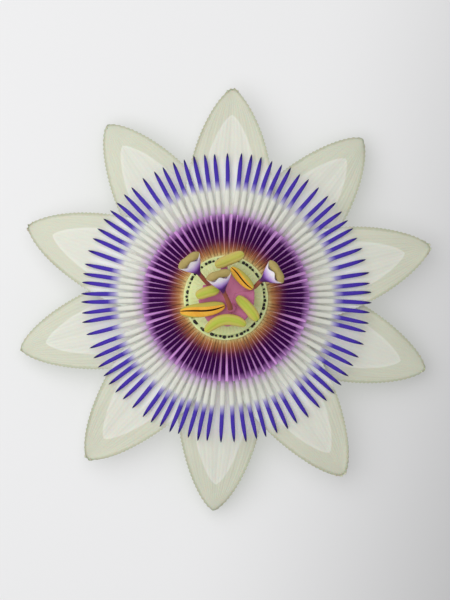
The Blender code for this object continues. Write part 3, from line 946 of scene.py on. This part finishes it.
# %% Mauve flesh
def mauve_flesh():
    skin = Recipe("mauve flesh", Specular_IOR_Level=0.35, Subsurface_Weight=0.12,
                  Subsurface_Scale=0.001)
    cloud, grain = skin.cloud_and_grain(350.0, 1800.0)
    speck = skin.step(skin.noise(1100.0, 2.0), 0.62, 0.72)
    shade = skin.clouded(cloud, (204, 118, 156), (194, 108, 146))
    shade = skin.mix(speck * 0.25, shade, (150, 72, 116))
    return skin.finish(shade, grain, 0.08, (0.42, 0.2), cloud * 0.5 + grain * 0.5, 0.00005)


mauve = mauve_flesh()
print("nodes in the mauve skin:", len(mauve.node_tree.nodes))

# %% The column and the ovary
COLUMN = ((0, 0, 8.0), (0, 0, 11), (0, 0, 13.2), (0.35, -0.5, 14.8), (0.7, -1, 16.1),
          (0.7, -1, 16.75))
COLUMN_RADIUS = 1.22
COLUMN_FOOT = 0.45              # how much wider it is at its foot and at its head
COLUMN_HEAD = 0.5


def column_size(share):
    foot = COLUMN_FOOT * passed(share, 0.35, 0)
    head = COLUMN_HEAD * passed(share, 0.85, 1)
    return (COLUMN_RADIUS + foot + head,) * 2


def column_ridges(share, turn, spot):
    return spot * (1 + 0.03 * math.cos(5 * turn))


def lobed(count, depth):
    """A shape that gives a turned body some soft lobes all round."""
    def shape(share, bearing, spot):
        return Vector((spot.x * (1 + depth * math.cos(count * bearing)), 0, spot.z))
    return shape


column = rod_along("androgynophore_column", COLUMN, column_size, 40, 48, column_ridges,
                   up=(0, 1, 0))
hand_over(column, "androgynophore", mauve)

OVARY = ((0, 17.3), (0.5, 17.32), (0.85, 17.7), (0.98, 18.3), (0.85, 18.9), (0.45, 19.3),
         (0, 19.42))
ovary = turned("ovary_egg", OVARY, 40, 28, lobed(3, 0.05))
low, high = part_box("ovary")
ovary.location.xy = ((low + high) / 2).xy
hand_over(ovary, "ovary", mauve)

# %% The star
star = copy_of(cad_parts["stamen_filaments"], "stamen_filaments_star")
star.hide_render = False
star.hide_viewport = False
apply_modifier(star, "WELD", merge_threshold=0.01 * MM)
apply_modifier(star, "REMESH", mode="VOXEL", voxel_size=0.13 * MM)
apply_modifier(star, "SMOOTH", factor=0.5, iterations=9)
hand_over(star, "stamen_filaments", mauve)

# %% [markdown]
# ## Anthers
# Six plump bars lie on the pegs.  Four show their backs: a soft ridge and a pinkish seam at each
# edge.  Two lie with their faces up and have opened: a long dark slit between two lips covered
# with orange pollen.  All are rods with blunt ends, and the slit is a groove in the mesh.

# %% The anthers' shape
# two ends, half width, bow, height of the underside, the side that shows
ANTHERS = (((-2.3, 6.9), (3.9, 9.5), 1.18, 0.0, 17.9, "back"),
           ((1.1, 6.5), (5.8, 1.9), 1.18, 0.0, 19.1, "face"),
           ((2.3, 0.2), (6.8, -4.9), 1.18, 0.3, 17.9, "back"),
           ((-4.4, -7.3), (4.3, -5.9), 1.22, 1.9, 17.9, "back"),
           ((-9.8, -3.0), (-0.2, -1.6), 1.52, -0.3, 17.9, "face"),
           ((-6.4, 0.3), (-1.4, 1.8), 1.18, 0.2, 19.1, "back"))
ANTHER_HALF_HEIGHT = 0.65
FURROW = 0.10                   # depth of the furrows beside the ridge and behind a lip
SLIT_DEPTH = 0.55
SLIT_WIDTH = 0.075
LIP_HEIGHT = 0.09
LIP_WIDTH = 0.2


def anther_line(first, last, bow, height):
    """Points along an anther's curved axis."""
    first, last = Vector((*first, height)), Vector((*last, height))
    along = (last - first).normalized()
    side = Vector((-along.y, along.x, 0))
    return [first.lerp(last, i / 8) + side * bow * (1 - (i / 4 - 1) ** 2) for i in range(9)]


def blunt(half_width, half_height, power):
    """Size of a bar with blunt round ends."""
    def size(share):
        end = max(1 - abs(2 * share - 1) ** power, 0.002) ** 0.5
        return half_width * end, half_height * end
    return size


def back_shape(share, turn, spot):
    """A ridge along the middle and a seam at each edge."""
    spot.z -= FURROW * max(math.sin(turn), 0) * hump(abs(math.cos(turn)) - 0.42, 0.16)
    return spot


def slit_place(share):
    """Where the slit runs, from -1 at one edge to 1 at the other."""
    return 0.05 - 0.22 * math.cos(math.pi * (1.15 * share + 0.05))


def face_shape(share, turn, spot):
    """Two lips with a deep slit between them, and a step to the outer edge."""
    side = math.cos(turn) - slit_place(share)
    if math.sin(turn) > 0:
        depth = SLIT_DEPTH * hump(side, SLIT_WIDTH) - LIP_HEIGHT * hump(side, LIP_WIDTH)
        depth += FURROW * hump(side + 0.54, 0.08)
        spot.z -= depth * min(12 * min(share, 1 - share), 1)
    return spot


print(len(ANTHERS), "anthers")

# %% [markdown]
# The backs are green to olive with a tan seam.  On the faces the colour follows the distance to
# the slit: almost black inside it, orange lips, then an olive edge.  Pollen is a fine grain.

# %% The anthers' colours
def anther_back(name, green, olive):
    skin = Recipe(name, Specular_IOR_Level=0.3, Subsurface_Weight=0.1, Subsurface_Scale=0.0008)
    across = skin.math("ABSOLUTE", skin.stored("across"))
    cloud, grain = skin.cloud_and_grain(450.0, 2400.0)
    shade = skin.mix(skin.step(across + (cloud - 0.5) * 0.7, 0.2, 0.75), green, olive)
    shade = skin.mix(skin.step(across, 0.9, 0.985) * 0.8, shade, (214, 172, 118))
    return skin.finish(shade, grain, 0.12, (0.42, 0.25), grain * 0.7 + cloud * 0.3, 0.00006)


def anther_face():
    skin = Recipe("open anther", Specular_IOR_Level=0.25)
    slit = skin.stored("slit")
    upper = skin.step(skin.stored("upper"), 0.02, 0.12)
    cloud, pollen = skin.cloud_and_grain(600.0, 3600.0, 3.0, 2.0)
    away = skin.math("ABSOLUTE", slit + (cloud - 0.5) * 0.05)
    lips = skin.clouded(cloud, (240, 180, 62), (230, 162, 50))
    lips = skin.mix(skin.step(pollen, 0.45, 0.7) * 0.5, lips, (244, 196, 84))
    edge = skin.step(slit, -0.60, -0.50, 1.0, 0.0) + skin.step(slit, 0.80, 0.90)
    shade = skin.mix(edge, lips, (186, 176, 78))
    shade = skin.mix(skin.step(away, 0.09, 0.15), (48, 8, 12), shade)
    shade = skin.mix(upper, (172, 170, 78), shade)
    return skin.finish(shade, pollen, 0, (0.55, 0.3), pollen * 0.8 + cloud * 0.2, 0.00009)


olive_back = anther_back("olive anther", (188, 184, 82), (194, 180, 96))
green_back = anther_back("green anther", (180, 190, 68), (196, 184, 88))
open_face = anther_face()
for number, (first, last, wide, bow, underside, showing) in enumerate(ANTHERS, 1):
    line = anther_line(first, last, bow, underside + ANTHER_HALF_HEIGHT)
    shape, skin = back_shape, olive_back if number == 1 else green_back
    sides, cuts, power = 48, 48, 4.0
    if showing == "face":
        shape, skin = face_shape, open_face
        sides, cuts, power = 96, 70, 2.6
    size = blunt(wide, ANTHER_HALF_HEIGHT, power)
    bar = rod_along(f"anther_{number}_{showing}", line, size, sides, cuts, shape)
    places = zip(stored_values(bar, "along"), stored_values(bar, "across"))
    note(bar, "slit", [across - slit_place(along) for along, across in places])
    hand_over(bar, f"anther_{number}", skin)

# %% [markdown]
# ## Styles and stigmas
# Three styles rise from the ovary and spread over the anthers.  Each is a thin stem that opens
# like a flattened trumpet and carries a kidney-shaped stigma across its mouth.  A swept rod gives
# the stem; its last part is widened, and its end is pushed forward in the middle, so that it
# grips the cap.

# %% The styles' lines
STYLES = {
    "left": ((0.1, -0.6, 17.15), (-0.9, 1.1, 17.15), (-3.2, 2.4, 17.3), (-4.4, 3.6, 18.2),
             (-5.8, 5.3, 19.2), (-7.2, 7.1, 20.2)),
    "right": ((1.5, -0.75, 17.15), (2.0, 0.9, 17.15), (4.2, 1.6, 17.15), (6.1, 2.3, 18.1),
              (7.5, 3.6, 19.2), (9.8, 5.0, 20.2)),
    "middle": ((1.0, -2.5, 19.75), (0.7, -1.4, 20.4), (0.1, 0.1, 21.0), (-0.5, 1.4, 21.6),
               (-1.2, 3.7, 22.6)),
}
STYLE_RADIUS = 0.47
ROOT_RADIUS = {"left": 0.27, "right": 0.27, "middle": 0.58}
TRUMPET_HALF_WIDTH = 2.75
TRUMPET_HALF_HEIGHT = 0.36      # what the stem grows by towards its mouth
TRUMPET_LENGTH = 2.7
CAP_HALF_LENGTH = 2.75
CAP_RADIUS = 0.96
CAP_BOW = 0.5
CAP_DROP = 0.35                 # the cap lies a little lower than the mouth's upper lip
CAP_GAP = 0.02
LIP = 1.15                      # reach of the lip at its middle and its two corners
LIP_LIFT = 0.30


def make_style(side, points):
    end = Vector(points[-1])

    def open_share(share):
        away = (smooth_point(points, share) - end).length
        return passed(away, TRUMPET_LENGTH, 0) ** 1.5

    def size(share):
        wide = open_share(share)
        up = passed(share, 0, 0.5) ** 2
        stem = ROOT_RADIUS[side] * (1 - up) + STYLE_RADIUS * up
        stem *= passed(share, 0, 0.03) ** 0.5 * 0.95 + 0.05
        half_width = stem + (TRUMPET_HALF_WIDTH - STYLE_RADIUS) * wide
        return half_width, stem + TRUMPET_HALF_HEIGHT * wide

    def mouth(share, turn, spot):
        wide = open_share(share) ** 3
        middle = hump(math.cos(turn), 0.36)
        spot.x += wide * LIP * (middle + abs(math.cos(turn)) ** 3)
        spot.z += wide * LIP_LIFT * middle
        return spot

    piece = rod_along(f"style_{side}_stem", points, size, 48, 90, mouth, hollow=1.0)
    places = [smooth_point(points, share) for share in stored_values(piece, "along")]
    note(piece, "from_lip", [(place - end).length - ahead + LIP for place, ahead
                             in zip(places, stored_values(piece, "ahead"))])
    return piece


def make_cap(side, points):
    end = Vector(points[-1])
    ahead = (end - smooth_point(points, 0.93)).normalized()
    across = ahead.cross(Vector((0, 0, 1))).normalized()
    centre = end + ahead * (CAP_RADIUS + CAP_GAP + CAP_BOW) - Vector((0, 0, CAP_DROP))
    steps = [2 * i / 12 - 1 for i in range(13)]
    line = [centre + across * CAP_HALF_LENGTH * t - ahead * CAP_BOW * t * t for t in steps]

    def lobes(share, turn, spot):
        notch = hump(share - 0.5, 0.16)
        spot.y *= 1 - 0.12 * notch * max(-math.cos(turn), 0) - 0.04 * notch
        return spot

    size = blunt(CAP_RADIUS, CAP_RADIUS * 0.9, 3.4)
    return rod_along(f"stigma_{side}_cap", line, size, 36, 56, lobes)


print("styles:", ", ".join(STYLES))

# %% [markdown]
# The stem's colours follow the distance to the trumpet's lip, and one side of each stem is painted
# darker, a painted shade.  The two outer styles start mauve, like the star that they rise from.

# %% The styles' colours
STYLE_RAMP_END = 12.0
STYLE_STOPS = ((0.0, (242, 238, 236)), (0.9, (238, 230, 240)), (1.5, (212, 194, 230)),
               (2.1, (174, 138, 206)), (2.6, (120, 70, 160)), (3.0, (72, 18, 98)),
               (3.8, (76, 20, 86)), (4.3, (142, 76, 60)), (6.0, (152, 84, 60)))


def style_skin(name, root):
    skin = Recipe(name, Specular_IOR_Level=0.35, Subsurface_Weight=0.08,
                  Subsurface_Scale=0.0008)
    cloud, grain = skin.cloud_and_grain(500.0, 2200.0)
    # painted shade: the ramp moves on the stem's right-hand side, so that side is painted darker
    rim = skin.math("MAXIMUM", skin.stored("across"), 0.0)
    place = skin.stored("from_lip") + (cloud - 0.5) * 0.3 + rim * 0.5
    shade = skin.ramp(place * (1 / STYLE_RAMP_END), (*STYLE_STOPS, (9.0, root)), STYLE_RAMP_END)
    return skin.finish(shade, grain, 0.1, (0.36, 0.2), grain * 0.6 + cloud * 0.4, 0.00005)


def cap_skin():
    skin = Recipe("stigma skin", Specular_IOR_Level=0.25)
    cloud, grain = skin.cloud_and_grain(500.0, 3000.0, 3.0, 2.0)
    shade = skin.clouded(cloud, (180, 160, 98), (168, 150, 90))
    shade = skin.mix(skin.step(grain, 0.5, 0.75) * 0.4, shade, (194, 180, 120))
    return skin.finish(shade, grain, 0, (0.55, 0.25), grain, 0.00008)


middle_stem = style_skin("middle style", (134, 72, 52))
outer_stem = style_skin("outer style", (196, 112, 146))
caps = cap_skin()
for side, points in STYLES.items():
    stem_skin = middle_stem if side == "middle" else outer_stem
    hand_over(make_style(side, points), f"style_{side}", stem_skin)
    hand_over(make_cap(side, points), f"stigma_{side}", caps)

# %% [markdown]
# ## Below the flower
# The cup, the three bracts and the cut stalk show only from the side and from below.  The cup is
# a turned body with ten soft ribs, and the stalk is turned too.

# %% Cup and stalk
def green_skin(name, light, shaded, veined=False):
    skin = Recipe(name, Specular_IOR_Level=0.35)
    cloud, grain = skin.cloud_and_grain(300.0, 2000.0, 4.0)
    shade = skin.clouded(cloud, light, shaded)
    if veined:
        shade = skin.mix(skin.stored("vein") * 0.5, shade, (206, 216, 160))
    return skin.finish(shade, grain, 0.12, (0.42, 0.2), cloud * 0.5 + grain * 0.5, 0.00006)


CUP = ((0, 3.5), (1.7, 3.5), (2.6, 3.56), (4.6, 3.95), (7.0, 4.9), (8.7, 6.1), (9.35, 7.1),
       (9.3, 7.7), (8.8, 7.98), (7.4, 7.98), (5.0, 7.8), (2.5, 7.6), (0, 7.5))
RIBS = 10
RIB_DEPTH = 0.018


def ribs(share, bearing, spot):
    low = RIB_DEPTH * (math.cos(RIBS * bearing) - 1) * math.sin(math.pi * share)
    return Vector((spot.x * (1 + low), 0, spot.z))


cup = turned("hypanthium_cup", CUP, 160, 48, ribs)
cup_skin = green_skin("cup skin", (176, 192, 118), (154, 174, 98))
hand_over(cup, "hypanthium", cup_skin)

STALK = ((0, 0), (0.9, 0), (1.4, 0.03), (1.5, 0.25), (1.44, 1.2), (1.5, 2.2), (1.75, 2.9),
         (1.78, 3.15), (1.2, 3.2), (0, 3.2))
stalk = turned("peduncle_stalk", STALK, 80, 40, lobed(8, 0.02))
stalk_skin = green_skin("stalk skin", (160, 180, 104), (138, 160, 84))
hand_over(stalk, "peduncle", stalk_skin)

# %% [markdown]
# A bract is a small leaf: a grid shaped by a rule, as the tepals are, with a midrib and side
# veins that curve towards its tip.

# %% Bracts
BRACT_BASE = 1.4
BRACT_END = 19.1
BRACT_HALF_WIDTH = 6.1
BRACT_THICKNESS = 0.42
BRACT_HEIGHT = 0.62             # its lowest height, near its tip
BRACT_RISE = 2.2                # what it rises by towards its root
BRACT_CURL = 0.6


def bract(node):
    piece = start("grid", f"{node}_leaf", x_subdivisions=90, y_subdivisions=40, size=2 * MM)
    veins = []

    def rule(p):
        share = (p.x + 1) / 2
        along = BRACT_BASE + (BRACT_END - BRACT_BASE) * share
        wide = max(BRACT_HALF_WIDTH * math.sin(math.pi * share ** 0.8) ** 0.7, 0.45)
        side_veins = math.cos(math.tau * (5.5 * share - 1.7 * abs(p.y) ** 1.3))
        vein = max(side_veins, 0) ** 6 * (1 - abs(p.y)) ** 0.4
        midrib = hump(p.y * wide, 0.3)
        veins.append(min(vein + midrib, 1))
        height = BRACT_HEIGHT + BRACT_RISE * (1 - share) ** 2 + BRACT_CURL * p.y ** 2
        return Vector((along, wide * p.y, height - 0.12 * midrib - 0.05 * vein))

    reshape(piece, rule)
    note(piece, "vein", veins)
    apply_modifier(piece, "SOLIDIFY", thickness=BRACT_THICKNESS * MM, offset=-1.0)
    return settle(piece, reach_of(node)[0])


bract_skin = green_skin("bract skin", (164, 184, 108), (146, 170, 92), veined=True)
for node in ("bract_1", "bract_2", "bract_3"):
    hand_over(bract(node), node, bract_skin)
